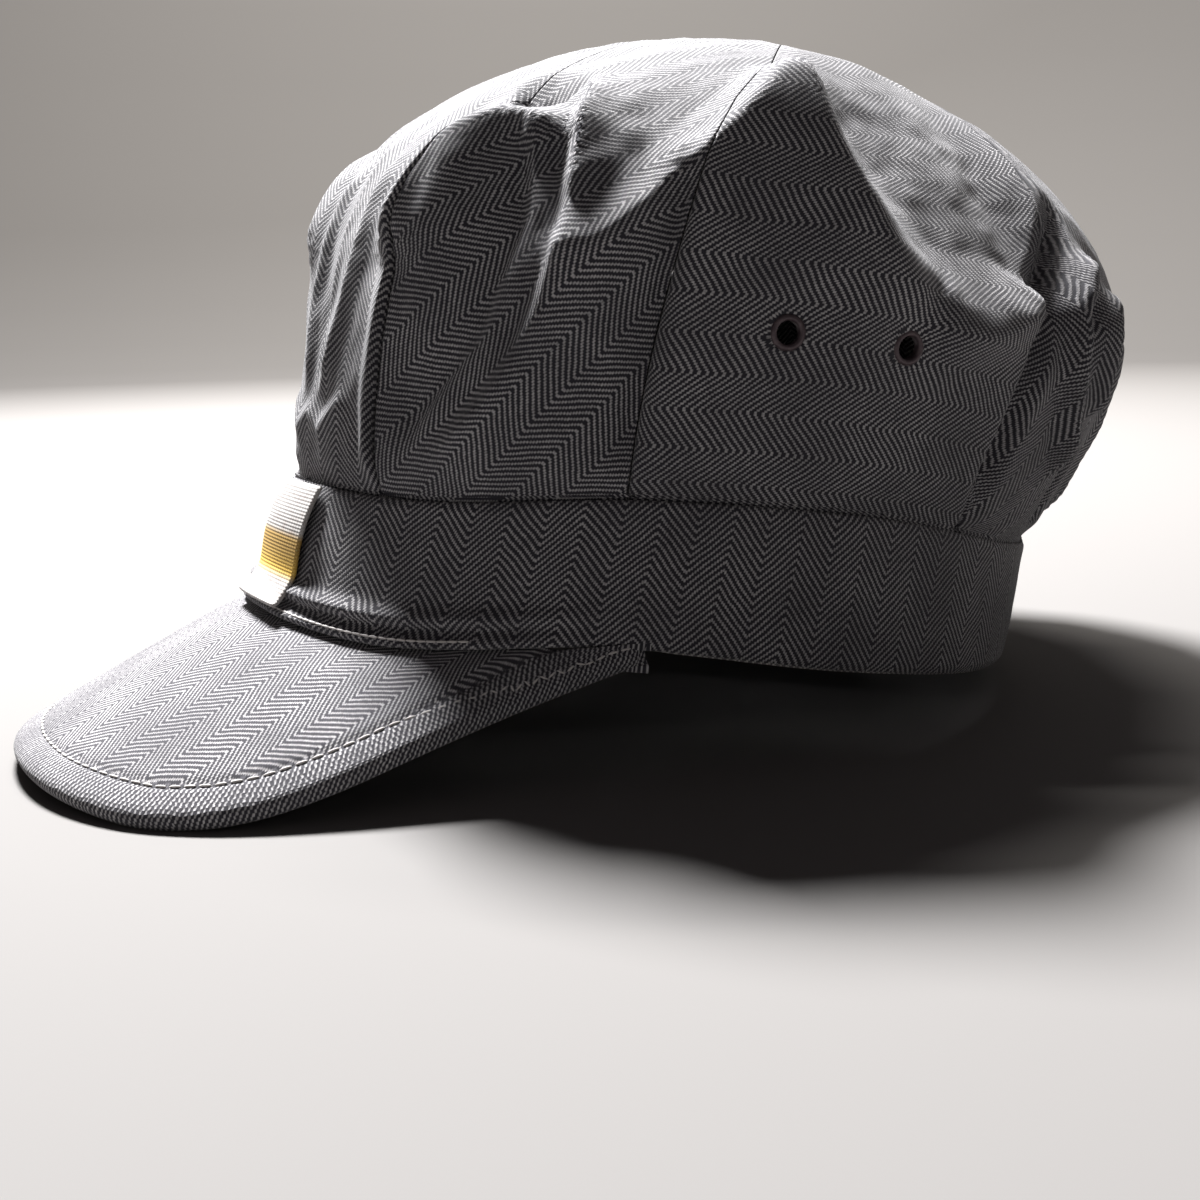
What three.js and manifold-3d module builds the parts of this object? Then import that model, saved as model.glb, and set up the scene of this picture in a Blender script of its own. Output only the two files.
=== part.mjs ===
// Railroad engineer cap: a full soft crown of herringbone cloth, gathered into an upright band,
// with a stiff curved visor, a small woven label in front and two metal eyelets on each side.
// Millimetres, +Z up. The visor points along -Y and the wearer's left is +X. The cap stands by
// itself, on the back of its rim and on the two lowest points of the visor's edge.
import * as THREE from 'three';
import { mergeVertices } from 'three/addons/utils/BufferGeometryUtils.js';
import Module from 'manifold-3d';

const wasm = await Module();
wasm.setup();

// Driving dimensions
const headLength = 206.5;
const headWidth = 171.6;
const rimFlare = 3;
const rimForward = 5.5;
const bandHeight = 31;
const bandWall = 1.6;
const facingWall = 1.1;
const facingShowing = 0.8;
const facingTopInset = 2;
const crownHeight = 118;
const crownLean = 20;
const crownWall = 1.2;
const pleatLift = 1.1;
const visorReach = 110;
const visorWidth = 154;
const visorWall = 3.3;
const visorArchRadius = 104;
const labelWidth = 25;
const labelWall = 0.9;
const eyeletHole = 4;
const eyeletFlange = 6.4;
const eyeletMetal = 0.45;
const topOpening = 0.8;
const seamGap = 0.3;
const restFlat = 0.5;

// Angles, in degrees round the head from the middle of the front
const pleatAngle = 20.5;
const sideSeamAngle = 57.5;
const backSeamAngle = 105;
const templeAngle = 64;

// The head opening is an oval that is a little narrower in front
const frontNarrowing = 0.055;
// Drop of the visor for each millimetre forward
const visorSlope = 0.678;
// Part of the crown's rise that lies below its widest line
const riseToWidest = 0.3;
// The crown's cloth stops here, where its panels leave the small opening in their middle
const riseTop = 1 - ((1 - riseToWidest) * 2 * Math.asin(topOpening / (headWidth / 2))) / Math.PI;
// Folds die out over this part of the rise, where the cloth is sewn to the band
const sewnRise = 0.05;
const panelStep = 3.8;
const ringSteps = 76;
const visorSteps = 24;
const eyeletSides = 12;

// Height of the crown seam and of the rim at each 30 degrees, in shares of bandHeight
const bandTable = [
  { angle: 0, seam: -0.11, rim: -1.09 },
  { angle: 30, seam: -0.10, rim: -1.12 },
  { angle: 60, seam: 0.09, rim: -0.92 },
  { angle: 90, seam: 0.12, rim: -0.98 },
  { angle: 120, seam: -0.02, rim: -1.04 },
  { angle: 150, seam: -0.03, rim: -1.04 },
  { angle: 180, seam: -0.13, rim: -1.10 },
];

// Form of the crown at each 30 degrees: how far it stands out past the band, in shares of the
// band's own reach there, the height of that widest line in shares of crownHeight, and how full
// the dome is above it, where 2 is an ellipse
const crownTable = [
  { angle: 0, overhang: 0.01, widest: 0.44, fullness: 2.14 },
  { angle: 30, overhang: 0.08, widest: 0.44, fullness: 2.1 },
  { angle: 60, overhang: 0.11, widest: 0.43, fullness: 2.08 },
  { angle: 90, overhang: 0.11, widest: 0.41, fullness: 1.9 },
  { angle: 120, overhang: 0.11, widest: 0.4, fullness: 1.78 },
  { angle: 150, overhang: 0.14, widest: 0.41, fullness: 1.84 },
  { angle: 180, overhang: 0.18, widest: 0.42, fullness: 1.97 },
];

// Folds of one half of the crown; the other half mirrors them. Each runs through three points,
// given by angle and rise, stands out (or sinks) by height in shares of crownHeight, and fades
// over spread degrees to each side
const foldTable = [
  {
    name: 'front middle ridge', height: 0.01, spread: 3.5,
    low: [0, 0.04], mid: [0, 0.2], high: [0, 0.45],
  },
  {
    name: 'front side ridge', height: 0.012, spread: 3.5,
    low: [7, 0.04], mid: [9, 0.25], high: [11, 0.5],
  },
  {
    name: 'flat behind the pleat', height: -0.022, spread: 6,
    low: [24.5, 0], mid: [27, 0.25], high: [25, 0.44],
  },
  {
    name: 'brow over the flat', height: 0.035, spread: 9,
    low: [26, 0.4], mid: [28, 0.51], high: [30, 0.64],
  },
  {
    name: 'long ridge', height: 0.03, spread: 4,
    low: [31, 0.03], mid: [43, 0.3], high: [34, 0.58],
  },
  {
    name: 'dent above the corner', height: -0.02, spread: 6,
    low: [48, 0.33], mid: [50, 0.45], high: [49, 0.6],
  },
  {
    name: 'corner ridge', height: 0.036, spread: 5,
    low: [46.5, 0.28], mid: [54, 0.43], high: [62, 0.6],
  },
  {
    name: 'valley at the side seam', height: -0.028, spread: 4,
    low: [56, 0.02], mid: [57, 0.2], high: [56, 0.42],
  },
  {
    name: 'shoulder ridge', height: 0.036, spread: 5,
    low: [90, 0.26], mid: [79, 0.43], high: [67, 0.6],
  },
  {
    name: 'dent behind the shoulder', height: -0.05, spread: 8,
    low: [101, 0.33], mid: [100, 0.46], high: [91, 0.62],
  },
  {
    name: 'bulge below the dent', height: 0.024, spread: 8,
    low: [92, 0.2], mid: [94, 0.27], high: [97, 0.36],
  },
  {
    name: 'valley at the back seam', height: -0.03, spread: 4,
    low: [106, 0], mid: [105.5, 0.28], high: [112, 0.5],
  },
  {
    name: 'back pleat', height: 0.036, spread: 4.5,
    low: [122, 0.08], mid: [112, 0.34], high: [121, 0.5],
  },
  {
    name: 'hollow between the back pleats', height: -0.02, spread: 3.5,
    low: [127, 0.12], mid: [118, 0.36], high: [126, 0.5],
  },
  {
    name: 'second back pleat', height: 0.026, spread: 4,
    low: [130, 0.2], mid: [124, 0.36], high: [128, 0.46],
  },
  {
    name: 'gathered tuck', height: -0.045, spread: 4.5,
    low: [129, 0.02], mid: [130, 0.08], high: [131, 0.17],
  },
  {
    name: 'rear ridge', height: 0.022, spread: 5,
    low: [146, 0.03], mid: [145, 0.2], high: [147, 0.42],
  },
  {
    name: 'rear hollow', height: -0.024, spread: 5,
    low: [158, 0.02], mid: [157, 0.15], high: [156, 0.35],
  },
  {
    name: 'rear middle ridge', height: 0.016, spread: 4.5,
    low: [172, 0.03], mid: [171, 0.2], high: [170, 0.42],
  },
];

// Outline of the visor's edge from the temple to the middle of the front: half width in shares
// of visorWidth / 2 and distance forward in shares of visorReach
const visorTable = [
  { out: 1.0, forward: 0.0 },
  { out: 0.962, forward: 0.12 },
  { out: 0.915, forward: 0.27 },
  { out: 0.872, forward: 0.42 },
  { out: 0.83, forward: 0.56 },
  { out: 0.775, forward: 0.68 },
  { out: 0.695, forward: 0.78 },
  { out: 0.575, forward: 0.87 },
  { out: 0.405, forward: 0.94 },
  { out: 0.21, forward: 0.985 },
  { out: 0.0, forward: 1.0 },
];

const cloth = new THREE.MeshStandardMaterial({ color: 0x4b4850, roughness: 0.9, metalness: 0 });
const facingCloth = new THREE.MeshStandardMaterial({ color: 0x6d6970, roughness: 0.9, metalness: 0 });
const labelTape = new THREE.MeshStandardMaterial({ color: 0xe2ddd4, roughness: 0.8, metalness: 0 });
const darkMetal = new THREE.MeshStandardMaterial({ color: 0x2c292b, roughness: 0.4, metalness: 0.9 });

const radians = THREE.MathUtils.degToRad;
const smoothstep = THREE.MathUtils.smoothstep;
const lerp = THREE.MathUtils.lerp;

function curveThrough(share, before, start, end, after) {
  const a = -0.5 * before + 1.5 * start - 1.5 * end + 0.5 * after;
  const b = before - 2.5 * start + 2 * end - 0.5 * after;
  const c = 0.5 * (end - before);
  return ((a * share + b) * share + c) * share + start;
}

// Value of a table column at any angle; rows are evenly spaced from front to back and mirrored
function around(table, column, angle) {
  const last = table.length - 1;
  const turned = Math.abs(THREE.MathUtils.euclideanModulo(angle + 180, 360) - 180);
  const place = (turned / 180) * last;
  const cell = Math.min(Math.floor(place), last - 1);
  const value = (row) => table[last - Math.abs(last - Math.abs(row))][column];
  return curveThrough(place - cell, value(cell - 1), value(cell), value(cell + 1), value(cell + 2));
}

// Point of the head oval, grown by the given amount and moved forward
function oval(angle, grow, forward) {
  const turn = radians(angle);
  const halfWidth = headWidth / 2 + grow;
  const halfLength = headLength / 2 + grow / 2;
  const x = halfWidth * Math.sin(turn) * (1 - frontNarrowing * Math.cos(turn));
  return new THREE.Vector2(x, -halfLength * Math.cos(turn) - forward);
}

function outwardOf(angle) {
  const along = oval(angle + 0.5, 0, 0).sub(oval(angle - 0.5, 0, 0)).normalize();
  return new THREE.Vector2(along.y, -along.x);
}

const seamHeight = (angle) => bandHeight * around(bandTable, 'seam', angle);
const rimHeight = (angle) => bandHeight * around(bandTable, 'rim', angle);

// Point of the band: down is 0 at the crown seam and 1 at the rim, depth is measured inwards
function bandPoint(angle, down, depth) {
  const flat = oval(angle, rimFlare * down, rimForward * down);
  const outward = outwardOf(angle);
  const height = lerp(seamHeight(angle), rimHeight(angle), down);
  return new THREE.Vector3(flat.x - outward.x * depth, flat.y - outward.y * depth, height);
}

// The crown without its folds: rise is 0 at the band seam and 1 at the top
function domePoint(angle, rise) {
  const seam = oval(angle, 0, 0);
  const overhang = around(crownTable, 'overhang', angle);
  const widest = around(crownTable, 'widest', angle) * crownHeight;
  const power = 2 / around(crownTable, 'fullness', angle);
  let reach;
  let height;
  if (rise < riseToWidest) {
    const share = rise / riseToWidest;
    reach = 1 + overhang * Math.sin((share * Math.PI) / 2);
    height = widest * share;
  } else {
    const turn = (((rise - riseToWidest) / (1 - riseToWidest)) * Math.PI) / 2;
    reach = (1 + overhang) * Math.cos(turn) ** power;
    height = widest + (crownHeight - widest) * Math.sin(turn) ** power;
  }
  const share = height / crownHeight;
  const back = crownLean * share ** 1.5;
  const z = lerp(seamHeight(angle), crownHeight, share);
  return new THREE.Vector3(seam.x * reach, seam.y * reach + back, z);
}

// Angle of a fold's line at a given rise: the parabola through its three points
function foldAngle(fold, rise) {
  const [lowAngle, lowRise] = fold.low;
  const [midAngle, midRise] = fold.mid;
  const [highAngle, highRise] = fold.high;
  const low = ((rise - midRise) * (rise - highRise)) / ((lowRise - midRise) * (lowRise - highRise));
  const mid = ((rise - lowRise) * (rise - highRise)) / ((midRise - lowRise) * (midRise - highRise));
  const high = ((rise - lowRise) * (rise - midRise)) / ((highRise - lowRise) * (highRise - midRise));
  return low * lowAngle + mid * midAngle + high * highAngle;
}

function foldRelief(angle, rise) {
  const side = Math.abs(THREE.MathUtils.euclideanModulo(angle + 180, 360) - 180);
  let relief = 0;
  for (const fold of foldTable) {
    const start = fold.low[1];
    const end = fold.high[1];
    const fade = 0.3 * (end - start);
    const fadeIn = smoothstep(rise, start, start + Math.min(fade, sewnRise));
    const strength = fadeIn * (1 - smoothstep(rise, end - fade, end));
    if (strength > 0) {
      const offset = (side - foldAngle(fold, rise)) / fold.spread;
      relief += fold.height * crownHeight * strength * Math.exp(-offset * offset);
    }
  }
  return relief;
}

function outwardOfDome(angle, rise) {
  const upper = Math.min(rise + 0.01, riseTop);
  const lower = Math.max(rise - 0.01, 0);
  const alongRise = domePoint(angle, upper).sub(domePoint(angle, lower));
  const alongAngle = domePoint(angle + 1, rise).sub(domePoint(angle - 1, rise));
  return alongAngle.cross(alongRise).normalize();
}

function crownPoint(angle, rise, depth) {
  const outward = outwardOfDome(angle, rise);
  return domePoint(angle, rise).addScaledVector(outward, foldRelief(angle, rise) - depth);
}

// Closed solid through a row of closed loops with equal numbers of points. Each loop runs up one
// face of the wall and back down the other, so an end is closed by a ladder between the faces
function loft(loops, isRing) {
  const size = loops[0].length;
  const positions = loops.flat().flatMap((point) => point.toArray());
  const index = [];
  const sides = isRing ? loops.length : loops.length - 1;
  for (let i = 0; i < sides; i += 1) {
    const here = i * size;
    const next = ((i + 1) % loops.length) * size;
    for (let k = 0; k < size; k += 1) {
      const after = (k + 1) % size;
      index.push(here + k, next + k, next + after);
      index.push(here + k, next + after, here + after);
    }
  }
  if (!isRing) {
    const end = (loops.length - 1) * size;
    for (let k = 0; k < size / 2 - 1; k += 1) {
      const across = size - 1 - k;
      index.push(k, k + 1, across - 1, k, across - 1, across);
      index.push(end + k, end + across - 1, end + k + 1, end + k, end + across, end + across - 1);
    }
  }
  const geometry = new THREE.BufferGeometry();
  geometry.setAttribute('position', new THREE.Float32BufferAttribute(positions, 3));
  geometry.setIndex(index);
  return geometry;
}

function spread(from, to, steps) {
  return Array.from({ length: steps + 1 }, (unused, i) => lerp(from, to, i / steps));
}

function wallLoop(rows, pointAt, wall) {
  const outside = rows.map((row) => pointAt(row, 0));
  const inside = rows.map((row) => pointAt(row, wall)).reverse();
  return [...outside, ...inside];
}

// Rows of the crown: closer together over the upright sides, wider over the dome
const crownRises = [...spread(0, riseToWidest, 5), ...spread(riseToWidest, 0.94, 10).slice(1), riseTop];

// One crown panel between two seams. Its edges stay half a seam gap short of the seam lines, and
// lift raises the edges of the pleated front panel over their neighbours
function crownPanel(fromAngle, toAngle, lift) {
  const steps = Math.round((toAngle - fromAngle) / panelStep);
  const loops = spread(0, 1, steps).map((share) => {
    const middle = 1 - Math.abs(2 * share - 1);
    const raise = lift * (1 - smoothstep(middle, 0, 0.5));
    return wallLoop(crownRises, (rise, depth) => {
      const angle = lerp(fromAngle, toAngle, share);
      const reach = domePoint(angle, rise).sub(domePoint(angle, 1)).setZ(0).length();
      const inset = THREE.MathUtils.radToDeg(seamGap / 2 / reach);
      const inner = lerp(fromAngle + inset, toAngle - inset, share);
      const low = rise === 0 ? seamGap / 2 : 0;
      const point = crownPoint(inner, rise, depth - raise * (1 - smoothstep(rise, 0.4, 0.8)));
      return point.setZ(point.z + low);
    }, crownWall);
  });
  return loft(loops, false);
}

// Ring between two heights of the band, from one depth to another
function bandRing(downTop, downRim, depth, wall, dropTop, dropRim) {
  const rows = [1, 0.7, 0.35, 0];
  const loops = spread(0, 360, ringSteps).slice(0, -1).map((angle) => wallLoop(rows, (row, extra) => {
    const point = bandPoint(angle, lerp(downTop, downRim, row), depth + extra);
    return point.setZ(point.z - lerp(dropTop, dropRim, row));
  }, wall));
  return loft(loops, true);
}

// Height of the visor's sheet: it slopes down forwards and arches down to both sides
function visorHeight(x, y) {
  const front = bandPoint(0, 1, 0);
  const drop = visorArchRadius - Math.sqrt(Math.max(visorArchRadius ** 2 - x * x, 0));
  return front.z - visorSlope * (front.y - y) - drop;
}

// Edge of the visor at side, from -1 at one temple to 1 at the other
function visorEdge(side) {
  const last = visorTable.length - 1;
  const place = (1 - Math.abs(side)) * last;
  const cell = Math.min(Math.floor(place), last - 1);
  const value = (row, column) => {
    if (row > last) return visorTable[2 * last - row][column] * (column === 'out' ? -1 : 1);
    return visorTable[Math.max(row, 0)][column];
  };
  const at = (column) => curveThrough(
    place - cell,
    value(cell - 1, column),
    value(cell, column),
    value(cell + 1, column),
    value(cell + 2, column),
  );
  const temple = bandPoint(templeAngle, 1, 0);
  const x = Math.sign(side) * at('out') * (visorWidth / 2);
  const y = temple.y - at('forward') * visorReach;
  return new THREE.Vector3(x, y, visorHeight(x, y));
}

// Upper face of the visor: out is 0 at the band's outer face and 1 at the visor's edge
function visorTop(side, out) {
  const root = bandPoint(side * templeAngle, 1, 0);
  root.z -= seamGap;
  const edge = visorEdge(side);
  const point = root.clone().lerp(edge, out);
  const rootRise = root.z - visorHeight(root.x, root.y);
  point.z = visorHeight(point.x, point.y) + rootRise * (1 - out) ** 1.5;
  return point;
}

function visorLoop(side) {
  const outs = [0, 0.1, 0.25, 0.4, 0.55, 0.7, 0.85, 1];
  const tuck = bandPoint(side * templeAngle, 1, bandWall);
  tuck.z = visorTop(side, 0).z;
  const top = [tuck, ...outs.map((out) => visorTop(side, out))];
  const bottom = top.map((point) => point.clone().setZ(point.z - visorWall)).reverse();
  const edge = top[top.length - 1];
  const away = edge.clone().sub(top[top.length - 2]).setZ(0).normalize();
  const nose = [0.3, 0.7].map((share) => edge.clone().addScaledVector(away, visorWall * 0.3)
    .setZ(edge.z - visorWall * share));
  return [...top, ...nose, ...bottom];
}

function visorSolid() {
  return loft(spread(1, -1, visorSteps).map(visorLoop), false);
}

// Woven label: a thin upright strip over the front of the band
function labelSolid() {
  const halfAngle = THREE.MathUtils.radToDeg(Math.asin(labelWidth / headWidth / (1 - frontNarrowing)));
  const rows = spread(0.97, 0.01, 6);
  const loops = spread(-halfAngle, halfAngle, 6).map((angle) => wallLoop(rows, (down, depth) => {
    const puff = Math.sin(Math.PI * down);
    return bandPoint(angle, down, depth - labelWall - seamGap - puff);
  }, labelWall));
  return loft(loops, false);
}

// Eyelet: a rolled front flange, a barrel through the cloth and a flat washer behind it
function eyeletGeometry() {
  const hole = eyeletHole / 2;
  const barrel = hole + eyeletMetal;
  const flange = eyeletFlange / 2;
  const front = seamGap;
  const back = -crownWall - seamGap;
  const profile = [
    [hole, front + eyeletMetal],
    [hole, back - eyeletMetal],
    [flange, back - eyeletMetal],
    [flange, back],
    [barrel, back],
    [barrel, front],
    [flange, front],
    [flange - eyeletMetal / 2, front + 1.4 * eyeletMetal],
    [barrel, front + 2 * eyeletMetal],
    [hole, front + eyeletMetal],
  ];
  const outline = profile.map(([reach, height]) => new THREE.Vector2(reach, height));
  return new THREE.LatheGeometry(outline, eyeletSides).rotateX(Math.PI / 2);
}

// Matrix that stands an eyelet on the crown's cloth, its axis along the cloth's normal
function eyeletPlace(angle, rise) {
  const point = crownPoint(angle, rise, 0);
  const alongAngle = crownPoint(angle + 2, rise, 0).sub(crownPoint(angle - 2, rise, 0)).normalize();
  const alongRise = crownPoint(angle, rise + 0.02, 0).sub(crownPoint(angle, rise - 0.02, 0));
  const outward = alongAngle.clone().cross(alongRise).normalize();
  const upward = outward.clone().cross(alongAngle);
  return new THREE.Matrix4().makeBasis(alongAngle, upward, outward).setPosition(point);
}

function toSolid(geometry, matrix) {
  const bare = geometry.clone().applyMatrix4(matrix);
  bare.deleteAttribute('normal');
  bare.deleteAttribute('uv');
  const merged = mergeVertices(bare, 1e-4);
  return new wasm.Manifold(new wasm.Mesh({
    numProp: 3,
    vertProperties: merged.attributes.position.array,
    triVerts: new Uint32Array(merged.index.array),
  }));
}

function toGeometry(solid) {
  const mesh = solid.getMesh();
  const geometry = new THREE.BufferGeometry();
  geometry.setAttribute('position', new THREE.BufferAttribute(mesh.vertProperties, 3));
  geometry.setIndex(new THREE.BufferAttribute(mesh.triVerts, 1));
  return geometry;
}

// The two eyelets of each side panel, by angle and rise
const eyeletTable = [
  { name: 'front', angle: 71, rise: 0.224 },
  { name: 'rear', angle: 85, rise: 0.231 },
];

function punched(panel, sideSign) {
  const clearHole = eyeletHole / 2 + eyeletMetal + seamGap;
  const punch = new THREE.CylinderGeometry(clearHole, clearHole, 8 * crownWall, eyeletSides);
  punch.rotateX(Math.PI / 2);
  let solid = toSolid(panel, new THREE.Matrix4());
  for (const eyelet of eyeletTable) {
    solid = solid.subtract(toSolid(punch, eyeletPlace(sideSign * eyelet.angle, eyelet.rise)));
  }
  return toGeometry(solid);
}

// Standing by itself, the cap tips until the visor's lowest edge points and the back of the rim
// touch the surface. Height above that surface is measured along this direction
const uprightAt = (tilt) => new THREE.Vector3(0, Math.sin(tilt), Math.cos(tilt));

function lowest(points, tilt) {
  const upright = uprightAt(tilt);
  return Math.min(...points.map((point) => point.dot(upright)));
}

const visorGeometry = visorSolid();
const facingGeometry = bandRing(0, 1, bandWall + seamGap, facingWall, facingTopInset, facingShowing);

function pointsOf(geometry) {
  const places = geometry.attributes.position;
  const pointAt = (unused, i) => new THREE.Vector3().fromBufferAttribute(places, i);
  return Array.from({ length: places.count }, pointAt);
}

function restingTilt() {
  const visorPoints = pointsOf(visorGeometry);
  const rearPoints = pointsOf(facingGeometry).filter((point) => point.y > 0);
  let low = -0.6;
  let high = 0.2;
  for (let round = 0; round < 40; round += 1) {
    const tilt = (low + high) / 2;
    if (lowest(visorPoints, tilt) > lowest(rearPoints, tilt) + restFlat) low = tilt;
    else high = tilt;
  }
  return (low + high) / 2;
}

const tilt = restingTilt();
const upright = uprightAt(tilt);
const surface = lowest(pointsOf(visorGeometry), tilt);

// Cloth that would reach below the surface is pressed flat on it
function pressed(geometry) {
  const places = geometry.attributes.position;
  pointsOf(geometry).forEach((point, i) => {
    const below = surface - point.dot(upright);
    if (below > 0) point.addScaledVector(upright, below);
    places.setXYZ(i, point.x, point.y, point.z);
  });
  return geometry;
}

const cap = new THREE.Group();

function addPiece(name, geometry, material) {
  const mesh = new THREE.Mesh(geometry, material);
  mesh.name = name;
  cap.add(mesh);
  return mesh;
}

addPiece('crown_front_panel', crownPanel(-pleatAngle, pleatAngle, pleatLift), cloth);
addPiece('crown_back_panel', crownPanel(backSeamAngle, 360 - backSeamAngle, 0), cloth);
for (const [sideName, sign] of [['left', 1], ['right', -1]]) {
  const panelBetween = (near, far) => {
    const [from, to] = sign > 0 ? [near, far] : [-far, -near];
    return crownPanel(from, to, 0);
  };
  addPiece(`crown_front_side_${sideName}`, panelBetween(pleatAngle, sideSeamAngle), cloth);
  addPiece(`crown_side_${sideName}`, punched(panelBetween(sideSeamAngle, backSeamAngle), sign), cloth);
  for (const eyelet of eyeletTable) {
    const mesh = addPiece(`eyelet_${sideName}_${eyelet.name}`, eyeletGeometry(), darkMetal);
    eyeletPlace(sign * eyelet.angle, eyelet.rise).decompose(mesh.position, mesh.quaternion, mesh.scale);
  }
}
addPiece('band', pressed(bandRing(0, 1, 0, bandWall, seamGap / 2, 0)), cloth);
addPiece('band_facing', pressed(facingGeometry), facingCloth);
addPiece('visor', visorGeometry, cloth);
addPiece('label', labelSolid(), labelTape);

// Stand the cap on the surface, with the origin at the bottom centre of its box
cap.rotation.x = tilt;
cap.updateMatrixWorld(true);
const box = new THREE.Box3().setFromObject(cap, true);
const centre = box.getCenter(new THREE.Vector3());
cap.position.set(-centre.x, -centre.y, -box.min.z);

export default cap;
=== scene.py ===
import bmesh
import bpy
import math
import numpy as np
from mathutils import Matrix, Vector


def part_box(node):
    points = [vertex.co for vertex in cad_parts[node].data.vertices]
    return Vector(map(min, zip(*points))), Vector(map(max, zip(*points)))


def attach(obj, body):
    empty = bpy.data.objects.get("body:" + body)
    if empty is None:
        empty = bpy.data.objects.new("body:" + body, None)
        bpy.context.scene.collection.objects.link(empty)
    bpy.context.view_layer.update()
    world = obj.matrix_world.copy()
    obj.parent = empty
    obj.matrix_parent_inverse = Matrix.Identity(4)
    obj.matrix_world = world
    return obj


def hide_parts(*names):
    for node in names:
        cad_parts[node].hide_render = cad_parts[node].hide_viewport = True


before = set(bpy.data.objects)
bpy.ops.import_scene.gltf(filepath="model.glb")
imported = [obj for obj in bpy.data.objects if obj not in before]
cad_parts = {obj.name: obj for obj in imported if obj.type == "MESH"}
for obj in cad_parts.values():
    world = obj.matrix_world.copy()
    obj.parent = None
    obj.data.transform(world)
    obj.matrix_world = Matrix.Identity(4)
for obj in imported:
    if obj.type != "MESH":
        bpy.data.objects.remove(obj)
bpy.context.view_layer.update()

# How the cap stands
# The cap's pieces are worked out upright, in millimetres from the middle of its head opening,
# then tipped back so that it stands on the back of its rim and on the visor's two lowest points.
stance = Matrix.Translation((0, 18.26, 48.82)) @ Matrix.Rotation(math.radians(-8.763), 4, "X")
to_metres = Matrix.Scale(0.001, 4) @ stance
head_length = 206.5
head_width = 171.6
front_narrowing = 0.055
rim_flare = 3.0
rim_forward = 5.5
band_height = 31.0
seam_levels = [-0.11, -0.10, 0.09, 0.12, -0.02, -0.03, -0.13]
rim_levels = [-1.09, -1.12, -0.92, -0.98, -1.04, -1.04, -1.10]


def folded_side(angle):
    """Angle from the front on either side, 0 to 180."""
    return np.abs((angle + 180) % 360 - 180)


def round_head(values, angle):
    """Smooth value at any angle round the head, from evenly spaced values from front to back."""
    values = np.array(values)
    last = len(values) - 1
    place = folded_side(angle) / 180 * last
    cell = np.minimum(np.floor(place), last - 1).astype(int)
    share = place - cell
    before, start, end, after = (values[last - abs(last - abs(cell + k))] for k in (-1, 0, 1, 2))
    bend = 2 * before - 5 * start + 4 * end - after + share * (3 * (start - end) + after - before)
    return start + 0.5 * share * (end - before + share * bend)


def oval(angle, grow=0.0, forward=0.0):
    """Point of the head opening at an angle in degrees from the middle of the front."""
    turn = np.radians(angle)
    x = (head_width / 2 + grow) * np.sin(turn) * (1 - front_narrowing * np.cos(turn))
    return x, -(head_length / 2 + grow / 2) * np.cos(turn) - forward


def seam_height(angle):
    return band_height * round_head(seam_levels, angle)


def rim_height(angle):
    return band_height * round_head(rim_levels, angle)


# Herringbone twill
# The cloth of the whole cap: pale and charcoal cotton yarns woven in columns of slanting lines
# that turn at each column's edge. It is washed soft, so the lines are beaded and a little uneven.
column_width = 8.0
line_pitch = 1.69
yarn_width = 0.47
line_share = 0.38
line_unevenness = 0.3
line_softness = 0.16
column_drift = 1.2
line_wobble = 0.35
edge_lean = 0.6
edge_closeness = 1.4
needle_hole = (0.25, 0.8)
twill_relief = 0.00022


class Number:
    """A socket's value in a node tree, for writing shader maths as expressions."""

    def __init__(self, tree, socket):
        self.tree = tree
        self.socket = socket

    def math(self, operation, *others):
        node = self.tree.nodes.new("ShaderNodeMath")
        node.operation = operation
        for place, value in enumerate((self, *others)):
            if isinstance(value, Number):
                self.tree.links.new(value.socket, node.inputs[place])
            else:
                node.inputs[place].default_value = value
        return Number(self.tree, node.outputs[0])

    def __add__(self, other):
        return self.math("ADD", other)

    def __sub__(self, other):
        return self.math("SUBTRACT", other)

    def __mul__(self, other):
        return self.math("MULTIPLY", other)

    def __truediv__(self, other):
        return self.math("DIVIDE", other)

    def __rsub__(self, other):
        return (self * -1) + other

    __radd__ = __add__
    __rmul__ = __mul__


class Finish:
    """A material and the one way to add nodes to it."""

    def __init__(self, name, **sockets):
        self.material = bpy.data.materials.new(name)
        self.material.use_nodes = True
        self.tree = self.material.node_tree
        self.shader = self.tree.nodes["Principled BSDF"]
        for socket, value in sockets.items():
            self.set(self.shader, socket.replace("_", " "), value)

    def set(self, node, socket, value):
        if isinstance(value, Number):
            self.tree.links.new(value.socket, node.inputs[socket])
        else:
            node.inputs[socket].default_value = value

    def node(self, kind, settings=None, sockets=None, output=0):
        node = self.tree.nodes.new(kind)
        for name, value in (settings or {}).items():
            setattr(node, name, value)
        for name, value in (sockets or {}).items():
            self.set(node, name, value)
        return Number(self.tree, node.outputs[output])

    def smooth(self, value, low, high):
        ends = {"Value": value, "From Min": low, "From Max": high}
        return self.node("ShaderNodeMapRange", {"interpolation_type": "SMOOTHSTEP"}, ends)

    def noise(self, place, scale, detail=2.0, roughness=0.5):
        sockets = {"Vector": place, "Scale": scale, "Detail": detail, "Roughness": roughness}
        return self.node("ShaderNodeTexNoise", None, sockets)

    def parts(self, vector):
        node = self.tree.nodes.new("ShaderNodeSeparateXYZ")
        self.tree.links.new(vector.socket, node.inputs[0])
        return Number(self.tree, node.outputs[0]), Number(self.tree, node.outputs[1])

    def mix(self, share, first, second):
        node = self.tree.nodes.new("ShaderNodeMix")
        node.data_type = "RGBA"
        self.set(node, 0, share)
        self.set(node, 6, first)
        self.set(node, 7, second)
        return Number(self.tree, node.outputs[2])

    def bump(self, height, distance, strength=1.0):
        sockets = {"Height": height, "Distance": distance, "Strength": strength}
        self.set(self.shader, "Normal", self.node("ShaderNodeBump", None, sockets))


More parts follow.
